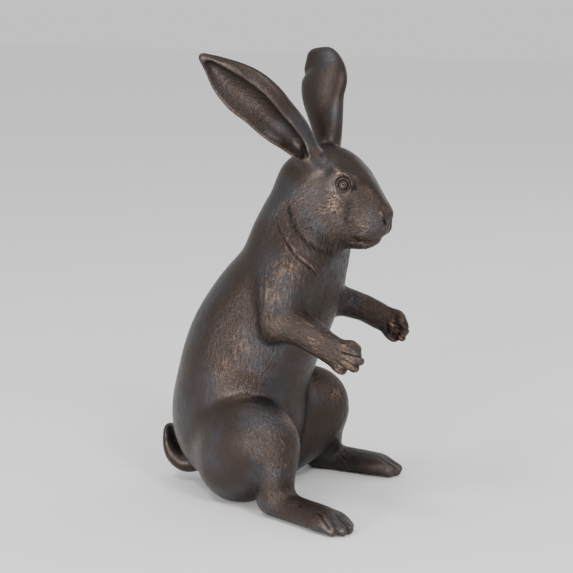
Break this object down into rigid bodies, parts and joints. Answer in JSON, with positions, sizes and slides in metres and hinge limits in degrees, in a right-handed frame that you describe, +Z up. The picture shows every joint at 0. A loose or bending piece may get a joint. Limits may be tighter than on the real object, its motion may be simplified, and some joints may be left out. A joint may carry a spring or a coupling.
{
  "type": "rabbit statue",
  "caption": "Cast bronze rabbit sitting upright on its haunches, forelegs held out in front and long ears laid back.",
  "frame": {"origin": "under the middle of the bounding box, on the surface that the feet and rump stand on", "axes": "the rabbit faces -Y, its left side is +X, +Z is up"},
  "size_m": [0.2552, 0.2902, 0.5134],
  "materials": {
    "bronze": "dark brown patinated bronze, satin, warm where it is rubbed"
  },
  "bodies": {
    "root": {"rabbit": "bronze"}
  },
  "joints": []
}
